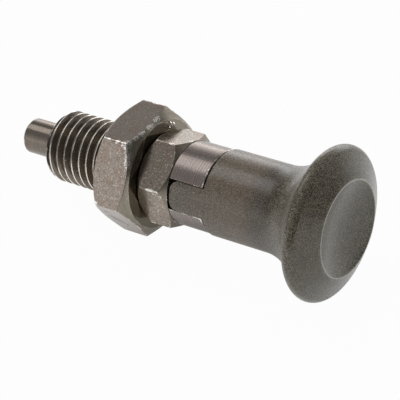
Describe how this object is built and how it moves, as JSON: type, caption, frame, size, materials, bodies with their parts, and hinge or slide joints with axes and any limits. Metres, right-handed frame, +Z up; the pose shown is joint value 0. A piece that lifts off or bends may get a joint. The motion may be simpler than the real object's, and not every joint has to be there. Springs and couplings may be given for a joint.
{
  "type": "indexing plunger",
  "caption": "Indexing plunger with a threaded shank, hexagon collar, lock nut, sprung pin and flared pull knob with a rest position.",
  "frame": {"origin": "on the plunger's axis, in the plane of the lock nut's face that seats on the mounting plate", "axes": "+X along the axis from the pin to the knob; +Z up, with the plunger lying on a flat of its lock nut and on the knob's rim"},
  "size_m": [0.0622, 0.025, 0.025],
  "materials": {
    "body_steel": "blackened steel, satin",
    "nut_steel": "blackened steel, satin",
    "pin_steel": "ground steel, satin",
    "spring_steel": "drawn spring wire",
    "knob_plastic": "fine matt grain"
  },
  "bodies": {
    "body": {"guide_body": "body_steel", "return_spring": "spring_steel"},
    "plunger": {"locking_pin": "pin_steel", "pull_knob": "knob_plastic"},
    "nut": {"lock_nut": "nut_steel"}
  },
  "joints": [
    {"name": "knob_pull", "type": "slide", "parent": "body", "child": "plunger", "axis": [1, 0, 0], "range_m": [0, 0.0071], "stiffness_N_per_m": 1150, "springref_m": -0.0055, "deforming": ["return_spring"]},
    {"name": "nut_travel", "type": "slide", "parent": "body", "child": "nut", "axis": [-1, 0, 0], "range_m": [-0.00015, 0.012]}
  ]
}
